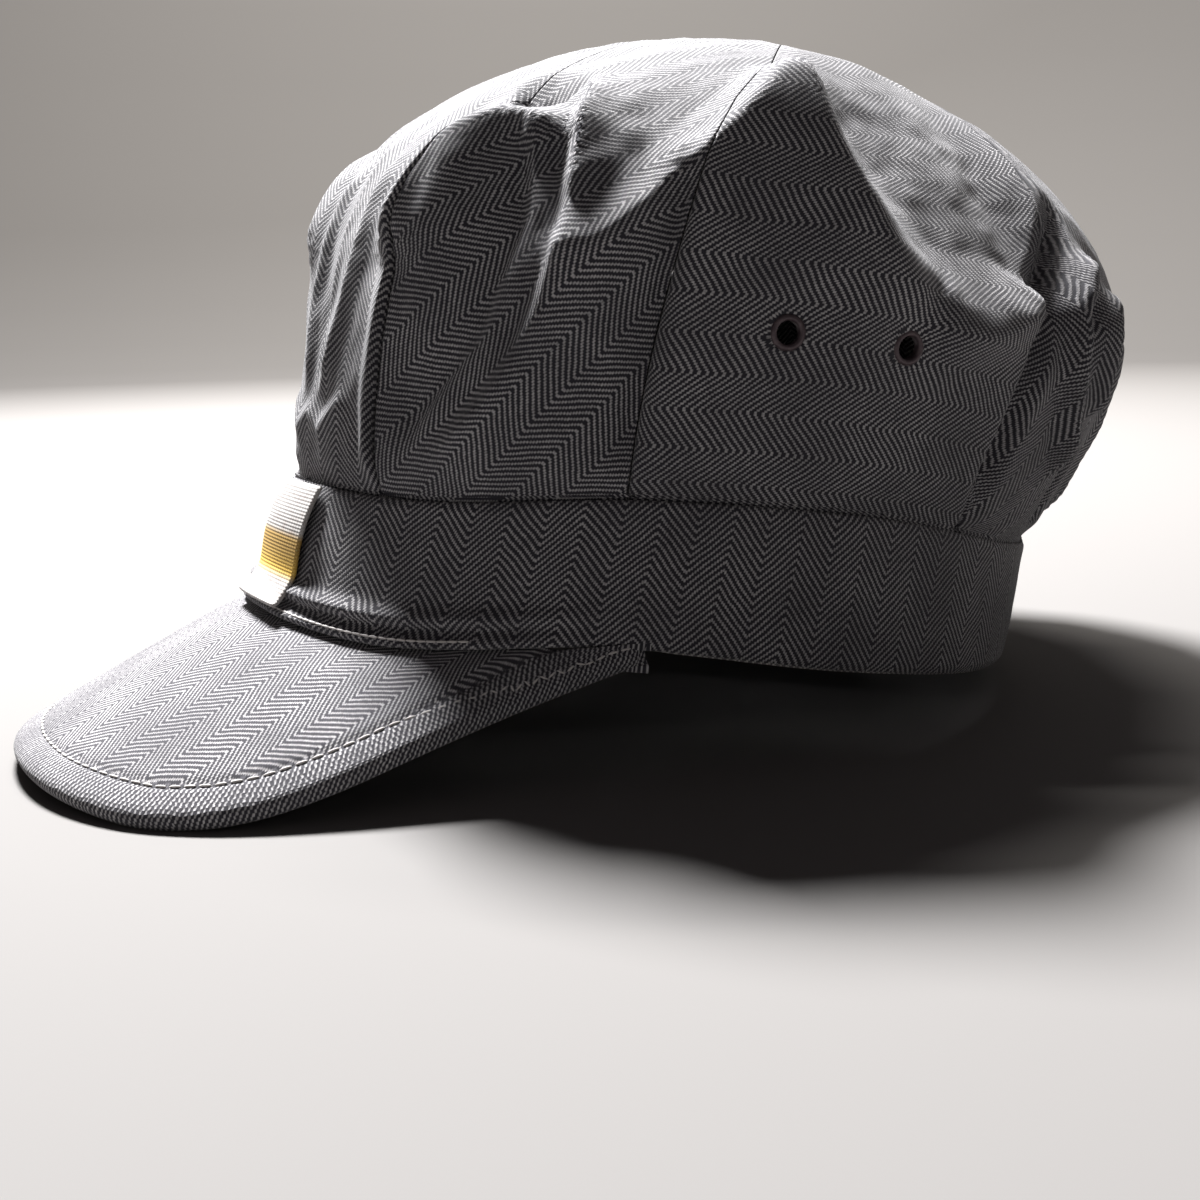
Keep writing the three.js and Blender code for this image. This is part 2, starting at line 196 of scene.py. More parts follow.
def herringbone(name, pale, dark, sewn_edge=None):
    """Twill on the grain map. With a stitch pitch, it turns to the edge map past the stitches, and
    its needle holes are sunk and painted dark as shade.
    """
    finish = Finish(name, Roughness=0.88, Sheen_Weight=0.1, Sheen_Roughness=0.5)
    grain = finish.node("ShaderNodeUVMap", {"uv_map": "grain"})
    across, along = finish.parts(grain)
    if sewn_edge:
        past, around = finish.parts(finish.node("ShaderNodeUVMap", {"uv_map": "edge"}))
        outside = past.math("GREATER_THAN", 0)
        across = across + (past * edge_lean - across) * outside
        along = along + (around * edge_closeness - along) * outside
        hole = (around * (2 * math.pi / sewn_edge)).math("COSINE")
        beside = finish.smooth(past.math("ABSOLUTE"), *needle_hole)
        sunk_and_painted_dark = (1 - beside) * finish.smooth(hole, 0, 0.7)
    drift = finish.noise(grain, 0.11, 1.0) - 0.5
    across = across + drift * column_drift
    yarn = (across / yarn_width).math("FLOOR")
    in_yarn = (across / yarn_width) - yarn
    stepped = (yarn + 0.5) * yarn_width
    zigzag = stepped.math("PINGPONG", column_width)
    wobble = finish.noise(grain, 0.9, 1.0) - 0.5
    phase = (along + zigzag + wobble * line_wobble) / line_pitch
    middle = (phase.math("FRACT") - 0.5).math("ABSOLUTE") * 2
    round_yarn = 1 - (in_yarn * 2 - 1).math("POWER", 2)
    width = line_share + (finish.noise(grain, 0.7, 2.0) - 0.5) * line_unevenness
    line = 1 - finish.smooth(middle, width - line_softness, width + line_softness)
    # Lines beaded at random, and each yarn painted lighter at its middle and darker at its edges:
    # painted shade of the round yarns.
    bead_and_yarn_shade = 0.4 + round_yarn * 0.3 + finish.smooth(finish.noise(grain, 1.6, 2.0), 0.35, 0.65) * 0.35
    patch = finish.noise(grain, 0.045, 3.0, 0.6)
    wear = 0.62 + finish.smooth(patch, 0.3, 0.7) * 0.38
    shown = line * bead_and_yarn_shade * wear
    height = line * bead_and_yarn_shade * 0.8 + round_yarn * 0.2
    if sewn_edge:
        # The needle holes are sunk in the bump and painted dark: painted shade in the holes.
        shown = shown * (1 - sunk_and_painted_dark * 0.85)
        height = height - sunk_and_painted_dark * 1.5
    finish.set(finish.shader, "Base Color", finish.mix(shown, dark, pale))
    finish.bump(height, twill_relief, 0.7)
    return finish.material


pale_yarn = (0.45, 0.435, 0.44, 1)
charcoal_yarn = (0.013, 0.0115, 0.018, 1)
twill = herringbone("herringbone_twill", pale_yarn, charcoal_yarn)


# The crown
# A front panel, a pair behind it, two side panels and one across the back, all of twill, sewn
# edge to edge with turned seams and gathered into the band. The front panel laps over in pleats.
crown_height = 118.0
crown_lean = 20.0
crown_wall = 1.2
rise_to_widest = 0.3
overhangs = [0.01, 0.08, 0.11, 0.11, 0.11, 0.14, 0.18]
widest_levels = [0.44, 0.44, 0.43, 0.41, 0.40, 0.41, 0.42]
fullness = [2.14, 2.10, 2.08, 1.90, 1.78, 1.84, 1.97]
cloth_step = 1.08

# Creases of one half, mirrored on the other. Each runs up through points of angle and rise, stands
# so many millimetres proud or sunken, and slopes away over so many on its front and back side.
creases = [
    # soft ridges down the middle of the front
    ([(-3, 0.03), (-5, 0.24), (-2, 0.4), (2, 0.52)], 1.3, 5, 8),
    ([(3, 0.1), (7, 0.24), (8, 0.34), (8, 0.46)], 1.6, 4, 6),
    ([(-2, 0.1), (5, 0.07), (13, 0.12)], 1.2, 4, 5),
    # the shoulder over the flat behind the pleat
    ([(18.5, 0.27), (19, 0.34), (21, 0.41), (25, 0.455), (30.5, 0.475), (36.5, 0.465), (42, 0.43)],
     5.5, 10, 24),
    # the long crease, with the valley in front of it and the dimple at its top
    ([(24, 0.05), (36, 0.2), (38.5, 0.34), (35, 0.44), (30, 0.5)], -3.0, 18, 3),
    ([(29.5, 0.033), (35, 0.08), (39.5, 0.125), (42.5, 0.175), (44.5, 0.235), (45.2, 0.29),
      (44.8, 0.345), (43.6, 0.4), (42, 0.465), (39.5, 0.54), (36, 0.6)], 4.4, 3, 14),
    ([(27, 0.52), (31, 0.535), (36, 0.52)], -4.5, 12, 9),
    # the crest of the corner behind the long crease
    ([(40, 0.32), (44, 0.297), (48, 0.291), (51, 0.32), (53.5, 0.36), (55.3, 0.4), (57.3, 0.435),
      (60, 0.49), (62.5, 0.545), (64.5, 0.6), (66, 0.65)], 5.0, 10, 22),
    # the valley along the seam below the corner
    ([(56, 0.01), (57, 0.2), (56.5, 0.32), (55.5, 0.45)], -4.5, 10, 3.5),
    # the crest behind the eyelets, and the ridge that closes the flat behind it below
    ([(90, 0.25), (85.5, 0.275), (82, 0.31), (79, 0.345), (75.5, 0.4), (72, 0.45), (68.5, 0.505),
      (66, 0.555), (64.5, 0.61), (64, 0.65)], 5.5, 22, 12),
    ([(85, 0.275), (89, 0.258), (93, 0.265), (98, 0.285), (103, 0.33), (106, 0.4)], 5.0, 20, 8),
    # the valley at the back seam, and the pleats and puckers behind it
    ([(106, 0.0), (106, 0.2), (106.5, 0.28), (107.5, 0.39), (113.5, 0.5), (118, 0.58)], -5.0, 6, 4),
    ([(123, 0.1), (121, 0.14), (117, 0.2), (113.5, 0.25), (111.5, 0.36), (115, 0.43), (120, 0.49)],
     5.0, 5, 8),
    ([(120, 0.27), (119, 0.34), (121, 0.42)], -3.5, 5, 4),
    ([(128, 0.2), (126, 0.27), (124, 0.36), (127, 0.44)], 4.0, 6, 8),
    ([(131, 0.02), (130, 0.08), (132, 0.17)], -6.0, 7, 7),
    ([(146, 0.02), (144, 0.2), (147, 0.42)], 3.0, 6, 9),
    ([(157, 0.02), (157, 0.15), (156, 0.35)], -3.0, 8, 8),
    ([(171, 0.02), (171, 0.2), (169, 0.42)], 2.2, 8, 8),
]


def smoothstep(value, low, high):
    share = np.clip((value - low) / (high - low), 0, 1)
    return share * share * (3 - 2 * share)


def dome(angle, rise):
    """Point of the crown without its folds: rise is 0 at the band seam and 1 at the top."""
    x, y = oval(angle)
    overhang = round_head(overhangs, angle)
    widest = round_head(widest_levels, angle) * crown_height
    power = 2 / round_head(fullness, angle)
    low = np.clip(rise / rise_to_widest, 0, 1)
    turn = np.clip((rise - rise_to_widest) / (1 - rise_to_widest), 0, 1) * np.pi / 2
    below = rise < rise_to_widest
    cosine = np.maximum(np.cos(turn), 1e-9)
    swollen = 1 + overhang * np.sin(low * np.pi / 2)
    reach = np.where(below, swollen, (1 + overhang) * cosine ** power)
    height = np.where(below, widest * low, widest + (crown_height - widest) * np.sin(turn) ** power)
    share = height / crown_height
    seam = seam_height(angle)
    leant = y * reach + crown_lean * share ** 1.5
    return np.stack([x * reach, leant, seam + (crown_height - seam) * share], -1)


def unit(vectors):
    return vectors / np.linalg.norm(vectors, axis=-1, keepdims=True)


def dome_outward(angle, rise):
    upper = np.minimum(rise + 0.01, 0.994)
    along_rise = dome(angle, upper) - dome(angle, np.maximum(rise - 0.01, 0))
    along_angle = dome(angle + 1, rise) - dome(angle - 1, rise)
    return unit(np.cross(along_angle, along_rise))


degree_length = 1.7
rise_length = 150.0


def along_line(points, count):
    """Evenly spread points along a smooth line through the given angles and rises."""
    points = np.array(points, dtype=float)
    steps = np.diff(points, axis=0) * (degree_length, rise_length)
    lengths = np.insert(np.cumsum(np.hypot(steps[:, 0], steps[:, 1])), 0, 0)
    places = np.linspace(0, lengths[-1], count)
    line = np.stack([np.interp(places, lengths, points[:, k]) for k in (0, 1)], -1)
    for _ in range(count // 12):
        line[1:-1] = (line[:-2] + 2 * line[1:-1] + line[2:]) / 4
    return line


crease_lines = [(along_line(points, 49), *sizes) for points, *sizes in creases]
widest_crease = 26
crest_angles = [87, 82, 75.5, 68.5, 64, 62, 60]
crest_rises = [0.25, 0.31, 0.4, 0.5, 0.6, 0.75, 1]
flat_depth = 9.0
flat_ends = (102, 116)
flat_low = 0.26
flat_rise = 0.52


def crease_relief(side, rise):
    """How far the creases lift the cloth off the smooth dome, in millimetres."""
    place = dome(side, rise)
    relief = np.zeros_like(rise)
    for line, height, front, back in crease_lines:
        points = dome(line[:, 0], line[:, 1])
        outward = dome_outward(line[:, 0], line[:, 1])
        steps = np.gradient(points, axis=0)
        to_back = unit(np.cross(steps, outward))
        low, high = points.min(0) - widest_crease, points.max(0) + widest_crease
        near = ((place > low) & (place < high)).all(-1)
        if not near.any():
            continue
        offsets = place[near, None, :] - points[None, :, :]
        distances = (offsets ** 2).sum(-1)
        closest = distances.argmin(1)
        distance = np.sqrt(distances[np.arange(len(closest)), closest])
        offset = offsets[np.arange(len(closest)), closest]
        behind = (offset * to_back[closest]).sum(-1) > 0
        reach = np.where(behind, back, front)
        away = np.clip((np.sqrt(distance ** 2 + 0.64) - 0.8) / reach, 0, 1)
        share = closest / (len(line) - 1)
        strength = smoothstep(share, 0, 0.18) * (1 - smoothstep(share, 0.8, 1))
        relief[near] += height * strength * (1 - away) ** 1.5
    # behind the eyelets' crest the cloth lies flatter than the dome
    crest = np.interp(rise, crest_rises, crest_angles)
    behind = smoothstep(side, crest, crest + 14) * (1 - smoothstep(side, *flat_ends))
    up_the_flat = np.clip((rise - flat_low) / flat_rise, 0, 1)
    return relief - flat_depth * behind * np.sin(np.pi * up_the_flat)


# The eyelets sit where the solid ones do, and the cloth is drawn level with them.
eyelet_places = {"front": (71.0, 0.224), "rear": (85.0, 0.231)}
eyelet_stands = []
for place_name, (side, rise) in eyelet_places.items():
    low, high = (Vector(corner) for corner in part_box(f"eyelet_left_{place_name}"))
    centre = np.array(to_metres.inverted() @ ((low + high) / 2))
    side, rise = np.array([side]), np.array([rise])
    eyelet_stands.append(((centre - dome(side, rise)) * dome_outward(side, rise)).sum())


def near_eyelets(side, rise, reach):
    """How near each point is to each eyelet, 1 at its middle, fading over the given reach."""
    place = dome(side, rise)
    shares = []
    for eyelet_place in eyelet_places.values():
        centre = dome(*(np.array([value]) for value in eyelet_place))
        shares.append(np.exp(-((place - centre) ** 2).sum(-1) / reach ** 2))
    return shares


def right_front(angle):
    """1 on the front of the wearer's right side, which is drawn flatter, and 0 elsewhere."""
    turned = (angle + 180) % 360 - 180
    return smoothstep(-turned, 4, 22) * (1 - smoothstep(-turned, 55, 75))


def fold_relief(angle, rise):
    side = folded_side(angle)
    relief = crease_relief(side, rise)
    for stand, share in zip(eyelet_stands, near_eyelets(side, rise, 9)):
        relief += (stand - relief) * share
    return relief * (1 - 0.5 * right_front(angle))


def right_front_sink(angle, rise):
    """How far the front of the wearer's right side is drawn in above the band, in millimetres."""
    return 3.4 * right_front(angle) * (1 - smoothstep(rise, 0.12, 0.4))


def soft_noise(x, y, seed):
    """Smooth value between -1 and 1 that changes over about one unit of x and y."""
    left, low = np.floor(x), np.floor(y)
    across, up = x - left, y - low
    across, up = across * across * (3 - 2 * across), up * up * (3 - 2 * up)

    def at(i, j):
        value = np.sin((left + i) * 127.1 + (low + j) * 311.7 + seed * 74.7) * 43758.5453
        return value - np.floor(value)

    bottom = at(0, 0) * (1 - across) + at(1, 0) * across
    top = at(0, 1) * (1 - across) + at(1, 1) * across
    return 2 * (bottom * (1 - up) + top * up) - 1


def smooth_piece(name, bm, material):
    """An object with smooth faces made from a bmesh, which is used up."""
    mesh = bpy.data.meshes.new(name)
    bm.to_mesh(mesh)
    bm.free()
    mesh.polygons.foreach_set("use_smooth", [True] * len(mesh.polygons))
    mesh.materials.append(material)
    piece = bpy.data.objects.new(name, mesh)
    bpy.context.scene.collection.objects.link(piece)
    return piece


def cloth_piece(name, columns, rows, shape, wall, joined=False, material=twill):
    """A sheet made from a grid: shape turns its 0 to 1 places into points and cloth grain."""
    bm = bmesh.new()
    bmesh.ops.create_grid(bm, x_segments=columns - 1, y_segments=rows - 1, size=1)
    piece = smooth_piece(name, bm, material)
    mesh = piece.data
    flat = np.empty(len(mesh.vertices) * 3)
    mesh.vertices.foreach_get("co", flat)
    flat = flat.reshape(-1, 3) / 2 + 0.5
    points, *maps = shape(flat[:, 0], flat[:, 1])
    ones = np.ones((len(points), 1))
    placed = np.hstack([points, ones]) @ np.array(to_metres).T
    mesh.vertices.foreach_set("co", placed[:, :3].ravel())
    corners = np.empty(len(mesh.loops), dtype=int)
    mesh.loops.foreach_get("vertex_index", corners)
    for map_name, places in zip(("grain", "edge"), maps):
        mesh.uv_layers.new(name=map_name).data.foreach_set("uv", places[corners].ravel())
    if joined:
        bm = bmesh.new()
        bm.from_mesh(mesh)
        bmesh.ops.remove_doubles(bm, verts=bm.verts, dist=1e-6)
        bm.to_mesh(mesh)
        bm.free()
    mesh.update()
    if wall:
        solidify = piece.modifiers.new("wall", "SOLIDIFY")
        solidify.thickness = wall / 1000
        solidify.offset = -1
    return piece


def finished(piece, slot, *nodes):
    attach(piece, "root")
    if nodes:
        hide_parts(*nodes)
    return piece


def fine_ended(length, start, end):
    """Places along a length, a cloth step apart, with finer steps at the start and end given."""
    fine = np.array([0, 0.15, 0.4, 0.75, 1.15, 1.7, 2.5])
    middle = np.linspace(0, length, round(length / cloth_step) + 1)
    places = middle[(middle > (3.0 if start else -1)) & (middle < length - (3.0 if end else -1))]
    return np.concatenate([fine if start else [], places, length - fine[::-1] if end else []])


def swell(value, middle, spread):
    """A rounded hump, 1 at the middle value and fading over the spread."""
    return np.exp(-((value - middle) / spread) ** 2)


def curl(distance, radius):
    """Depth of a rounded edge at a distance from its end."""
    return radius - np.sqrt(np.maximum(radius ** 2 - np.clip(radius - distance, 0, radius) ** 2, 0))


def seam_course(line):
    """The angle of a seam at any rise, from pairs of angle and rise."""
    line = np.array(line, dtype=float)
    return lambda rise: np.interp(rise, line[:, 1], line[:, 0])


pleat_course = seam_course([
    (20.8, 0), (20, 0.11), (20.4, 0.22), (20.2, 0.32), (21.3, 0.38), (23, 0.43), (26, 0.5),
    (28, 0.6), (28, 1),
])
side_course = seam_course([(57, 0), (57.5, 0.42), (58.5, 0.52), (61, 0.6), (61, 1)])
back_course = seam_course([
    (105.5, 0), (103.5, 0.13), (104.5, 0.22), (106, 0.38), (111, 0.5), (113, 0.62), (113, 1),
])


def run_along(sheet, axis):
    """Length of cloth from the start of each row or column of a sheet to each of its points."""
    steps = np.linalg.norm(np.diff(sheet, axis=axis), axis=-1)
    return np.insert(np.cumsum(steps, axis=axis), 0, 0, axis=axis)


def evened(values, axis, passes=100):
    """Values averaged with their neighbours, so that small folds don't shift the weave."""
    values = np.moveaxis(values, axis, 0)
    for _ in range(passes):
        before, after = np.vstack([values[:1], values[:-1]]), np.vstack([values[1:], values[-1:]])
        values = (before + 2 * values + after) / 4
    return np.moveaxis(values, 0, axis)


top_rise = 0.996
widest_radius = 98.0
seam_gap = 0.16
seam_depth = 1.2
top_seam_depth = 0.25
hem_depth = 1.5
hem_reach = 4.5
lap_reach = 9.0
coarse_crumple = 0.4
fine_crumple = 0.2
tucked_rows = [-2.7, -1.4, -0.5, -0.25]


def crown_panel(name, near, far, lean, pleats=(0.0, 0.0)):
    """One panel between two seam courses, its grain turned by lean degrees and its edges lapped."""
    levels = np.linspace(0, 1, 400)
    middle = (near(0.2) + far(0.2)) / 2
    rail = dome(np.full_like(levels, middle), levels)
    lengths = run_along(rail, 0)
    ups = np.concatenate([tucked_rows, fine_ended(lengths[-1], True, False)])
    widest = np.radians(far(0.3) - near(0.3)) * widest_radius
    acrosses = fine_ended(widest, True, True) / widest

    def shape(across, up):
        up = np.interp(up * (len(ups) - 1), np.arange(len(ups)), ups)
        across = np.interp(across * (len(acrosses) - 1), np.arange(len(acrosses)), acrosses)
        rise = np.minimum(np.interp(up, lengths, levels), top_rise)
        near_angle, far_angle = near(rise), far(rise)
        angle = near_angle + (far_angle - near_angle) * across
        top = dome(angle, np.ones_like(rise))
        reach = np.linalg.norm((dome(angle, rise) - top)[:, :2], axis=1)
        gap = np.degrees(seam_gap / 2 / reach)
        angle = near_angle + gap + (far_angle - near_angle - 2 * gap) * across
        breadth = np.radians(far_angle - near_angle) * reach
        to_near, to_far = across * breadth, (1 - across) * breadth
        to_edge = np.minimum(to_near, to_far)
        narrowing = np.clip(breadth / 12, 0, 1)
        flatter = (seam_depth - top_seam_depth) * smoothstep(rise, 0.3, 0.48)
        depth = (seam_depth - flatter) * narrowing
        sewn_in = hem_depth * swell(np.maximum(up, 0), 0, hem_reach) * (up > -0.1)
        turned = curl(to_edge, depth) + curl(np.maximum(up, 0), 0.8)
        turned = turned + np.clip(-up, 0, 0.5) + sewn_in
        pleat = np.where(to_near < to_far, *pleats)
        lapped = pleat * smoothstep(rise, 0, 0.06) * (1 - smoothstep(rise, 0.2, 0.42))
        raised = lapped * (1 - smoothstep(to_edge, 0.5, lap_reach) - curl(to_edge, 1.0))
        u = np.radians(angle - middle) * reach
        v = up
        crumple = coarse_crumple * soft_noise(u / 9 + middle, v / 13, 3)
        crumple += fine_crumple * soft_noise(u / 4, v / 5 + middle, 5)
        crumple *= 1 - sum(near_eyelets(folded_side(angle), rise, 8))
        crumple *= smoothstep(to_edge, 0.5, 5)
        relief = (fold_relief(angle, rise) + crumple) * smoothstep(up, 0, 7) + raised - turned
        relief -= right_front_sink(angle, rise) * smoothstep(up, 0, 3)
        points = dome(angle, rise) + dome_outward(angle, rise) * relief[:, None]
        points[:, 2] -= np.clip(-up - 0.5, 0, None)
        slant = math.radians(lean)
        sheet = points.reshape(len(ups), len(acrosses), 3)
        u = run_along(sheet, 1)
        u = evened(u - u[:, len(acrosses) // 2, None], 0).ravel()
        v = evened(run_along(sheet, 0), 1).ravel()
        across_grain = u * math.cos(slant) - v * math.sin(slant)
        along_grain = u * math.sin(slant) + v * math.cos(slant)
        return points, np.stack([across_grain, along_grain], -1)

    piece = cloth_piece(f"{name}_cloth", len(acrosses), len(ups), shape, crown_wall)
    return finished(piece, "cloth", name)


def mirrored(course):
    return lambda rise: -course(rise)


def round_the_back(course):
    return lambda rise: 360 - course(rise)


crown_panel("crown_front_panel", mirrored(pleat_course), pleat_course, 0, (0.3, 2.4))
crown_panel("crown_front_side_left", pleat_course, side_course, 46)
crown_panel("crown_front_side_right", mirrored(side_course), mirrored(pleat_course), -46)
crown_panel("crown_side_left", side_course, back_course, 90)
crown_panel("crown_side_right", mirrored(back_course), mirrored(side_course), 90)
crown_panel("crown_back_panel", back_course, round_the_back(back_course), 0)


# The band
# A straight strip of the same twill folded double, upright round the head. Its lower edge is
# turned in and rolls out over the visor's root, and its upper edge holds the crown's gathers.
band_wall = 1.6
band_drop = 0.3
rim_turn = 0.9
seam_turn = 0.7
root_ends = (42, 62)
roll_height = 2.3
roll_up = 6.2
lip_height = 2.8
lip_up = 0.7
fold_depth = 0.8
fold_up = 3.9


def band_point(angle, down, depth=0.0):
    """Point of the band: down is 0 at the crown seam and 1 at the rim, depth goes inwards."""
    x, y = oval(angle, rim_flare * down, rim_forward * down)
    x1, y1 = oval(angle + 0.5)
    x0, y0 = oval(angle - 0.5)
    length = np.hypot(x1 - x0, y1 - y0)
    outward = (y1 - y0) / length, -(x1 - x0) / length
    height = seam_height(angle) + (rim_height(angle) - seam_height(angle)) * down
    return np.stack([x - outward[0] * depth, y - outward[1] * depth, height], -1)


def head_distance(angle):
    """Length along the band from the middle of the front, in millimetres."""
    turns = np.linspace(0, 360, 721)
    return np.interp(angle, turns, run_along(np.stack(oval(turns), -1), 0))


def band_shape(across, up):
    angle = 360 * across
    down = 1 - up
    u = head_distance(angle)
    v = up * band_height
    turned = rim_turn * swell(v, 0, 1.0) + seam_turn * swell(v, band_height, 0.9)
    over_visor = 1 - smoothstep(folded_side(angle), *root_ends)
    roll = roll_height * swell(v, roll_up, 1.9) - fold_depth * swell(v, fold_up, 0.5)
    turned = turned - over_visor * (roll + lip_height * swell(v, lip_up, 1.9))
    crumple = 0.25 * soft_noise(u / 14, v / 9, 11) + 0.12 * soft_noise(u / 5, v / 4, 12)
    points = band_point(angle, down, turned - crumple)
    points[:, 2] -= band_drop
    return points, np.stack([u, v], -1)


band = cloth_piece("band_cloth", 421, 53, band_shape, band_wall, joined=True)
finished(band, "cloth", "band")


# The band's facing
# The inner layer of the band, a strip of the same cloth with its yarns painted lighter, a painted
# highlight, so that it shows as a thin pale edge below it.
facing_wall = 1.1
facing_gap = 0.3
facing_showing = 0.8
facing_top_inset = 2.2
# Paler copies of the twill's yarns: painted highlight on the band's lower edge.
painted_lit_twill = herringbone("facing_twill_painted_lit", (0.6, 0.57, 0.54, 1), (0.10, 0.095, 0.10, 1))


def facing_shape(across, up):
    angle = 360 * across
    points = band_point(angle, 1 - up, band_wall + facing_gap)
    behind_visor = 1 - smoothstep(folded_side(angle), 58, 68)
    points[:, 2] -= facing_showing * (1 - 1.6 * behind_visor * (1 - up)) + facing_top_inset * up
    return points, np.stack([head_distance(angle), up * band_height], -1)


facing = cloth_piece(
    "band_facing_cloth", 301, 15, facing_shape, facing_wall, joined=True, material=painted_lit_twill)
finished(facing, "facing_cloth", "band_facing")


# The visor
# A stiff board between two layers of twill. The upper layer wraps the edge, which is stitched
# through all layers a few millimetres in, and its root is sewn in under the band.
visor_reach = 110.0
visor_width = 154.0
visor_wall = 4.8
visor_nose = 0.32
visor_lift = 1.5
visor_slope = 0.678
visor_arch_radius = 104.0
visor_closeness = 1.18
temple_angle = 64.0
top_share = 0.47
stitch_pitch = 3.4
stitch_inset = 4.3
stitch_sink = 0.6
visor_outs = [1.0, 0.962, 0.915, 0.872, 0.83, 0.775, 0.695, 0.575, 0.405, 0.21, 0.0]
visor_forwards = [0.0, 0.12, 0.27, 0.42, 0.56, 0.68, 0.78, 0.87, 0.94, 0.985, 1.0]


def visor_height(x, y):
    front = band_point(np.array(0.0), np.array(1.0))
    drop = visor_arch_radius - np.sqrt(np.maximum(visor_arch_radius ** 2 - x * x, 0))
    return front[2] - visor_slope * (front[1] - y) - drop


def from_temple(values, angle, sign):
    """As round_head, but the values start at a plain end and pass on with the given sign."""
    values = np.array([values[0], *values, sign * values[-2]])
    last = len(values) - 3
    place = angle / 180 * last
    cell = np.clip(np.floor(place), 0, last - 1).astype(int)
    share = place - cell
    before, start, end, after = (values[cell + k] for k in (0, 1, 2, 3))
    bend = 2 * before - 5 * start + 4 * end - after + share * (3 * (start - end) + after - before)
    return start + 0.5 * share * (end - before + share * bend)


def visor_edge(side):
    """Point of the visor's edge, from side -1 at one temple to 1 at the other."""
    angle = (1 - np.abs(side)) * 180
    temple = band_point(np.array(temple_angle), np.array(1.0))
    x = np.sign(side) * from_temple(visor_outs, angle, -1) * visor_width / 2
    y = temple[1] - from_temple(visor_forwards, angle, 1) * visor_reach
    return np.stack([x, y, visor_height(x, y)], -1)


def visor_top(side, out):
    """Point of the visor's upper face: out is 0 at the band and 1 at the edge."""
    root = band_point(side * temple_angle, np.ones_like(side))
    root[..., 2] -= band_drop
    edge = visor_edge(side)
    point = root + (edge - root) * out[..., None]
    lift = root[..., 2] - visor_height(root[..., 0], root[..., 1])
    point[..., 2] = visor_height(point[..., 0], point[..., 1]) + lift * (1 - out) ** 1.5
    return point


visor_outline = visor_edge(np.linspace(-1, 1, 800))
outline_lengths = run_along(visor_outline, 0)


def visor_shape(across, around_edge):
    """around_edge runs over the top to the edge, round it and back along the underside."""
    side = 2 * across - 1
    over = np.clip(around_edge / top_share, 0, 1)
    under = np.clip((1 - around_edge) / top_share, 0, 1)
    out = np.where(around_edge < 0.5, over, under)
    out = 1 - (1 - out) ** 1.4
    turn = np.clip((around_edge - top_share) / (1 - 2 * top_share), 0, 1)
    on_top = around_edge < top_share
    on_edge = (turn > 0) & (turn < 1)
    top = visor_top(side, out)
    away = unit((top - visor_top(side, out - 0.02)) * (1, 1, 0))
    nose = np.sin(turn * np.pi) * visor_wall * visor_nose
    points = top + away * nose[:, None]
    points[:, 2] += visor_lift * np.clip(out * 4, 0, 1) - visor_wall * turn
    gaps = np.sqrt(((points[:, None, :2] - visor_outline[None, :, :2]) ** 2).sum(-1))
    inset = gaps.min(1)
    points[:, 2] -= stitch_sink * swell(inset, stitch_inset, 0.8) * on_top
    arch = visor_arch_radius * np.arcsin(np.clip(points[:, 0] / visor_arch_radius, -1, 1))
    slant = points[:, 1] * math.hypot(1, visor_slope)
    past = np.where(on_top, stitch_inset - inset, stitch_inset + turn * visor_wall + inset)
    past = np.where(on_edge, stitch_inset + turn * visor_wall, past)
    around = outline_lengths[gaps.argmin(1)]
    grain = np.stack([arch * visor_closeness, -slant], -1)
    return points, grain, np.stack([past, around], -1)


visor_twill = herringbone("visor_twill", pale_yarn, charcoal_yarn, stitch_pitch)
visor = cloth_piece("visor_cloth", 221, 121, visor_shape, 0, material=visor_twill)
finished(visor, "cloth", "visor")


# The stitching
# Pale cotton thread. One row of lockstitch goes through the visor's layers in a sunk line near
# its edge, and one along the band's lip holds the visor's root.
stitch_length = 2.6
stitch_thread = 0.6
visor_row_end = 0.97
visor_upward = (0.0, -0.56, 0.83)
band_row_up = 1.8
band_row_out = 2.0
thread = Finish("stitching_thread", Roughness=0.8, Sheen_Weight=0.2)
thread_place = thread.node("ShaderNodeTexCoord", output="Object")
twist = thread.noise(thread_place, 2600, 2.0, 0.6)
cotton = thread.mix(twist, (0.34, 0.32, 0.31, 1), (0.6, 0.57, 0.55, 1))
thread.set(thread.shader, "Base Color", cotton)
thread.bump(twist, 0.0001, 0.6)


def stitches(name, row, outwards):
    """Small raised stitches, one from each point of a row towards the next."""
    bm = bmesh.new()
    for start, end, outward in zip(row[:-1], row[1:], outwards):
        along = Vector(end - start).normalized()
        across = Vector(outward).cross(along).normalized()
        stand = Matrix((along, across, along.cross(across))).transposed().to_4x4()
        size = Matrix.Diagonal((stitch_length / 2, stitch_thread / 2, stitch_thread / 2, 1))
        middle = Matrix.Translation(Vector((start + end) / 2 + outward * 0.05))
        bmesh.ops.create_uvsphere(bm, u_segments=8, v_segments=6, radius=1,
                                  matrix=to_metres @ middle @ stand @ size)
    return finished(smooth_piece(name, bm, thread.material), "cloth")


def visor_stitch_row():
    """Points a stitch apart on the visor's top, at the inset from its edge."""
    sides = np.linspace(-visor_row_end, visor_row_end, 1500)
    outs = np.linspace(0.7, 1, 120)
    side_grid, out_grid = (grid.ravel() for grid in np.meshgrid(sides, outs, indexing="ij"))
    points = visor_top(side_grid, out_grid)
    line = []
    for side, rail in zip(sides, points.reshape(len(sides), len(outs), 3)):
        gaps = np.sqrt(((rail[:, None, :2] - visor_outline[None, ::8, :2]) ** 2).sum(-1)).min(1)
        line.append(rail[np.abs(gaps - stitch_inset).argmin()])
    line = np.array(line)
    lengths = run_along(line, 0)
    places = np.arange(0, lengths[-1], stitch_pitch)
    row = np.stack([np.interp(places, lengths, line[:, k]) for k in range(3)], -1)
    row[:, 2] += visor_lift - 0.4
    return row


row = visor_stitch_row()
stitches("visor_stitches", row, np.tile(visor_upward, (len(row) - 1, 1)))


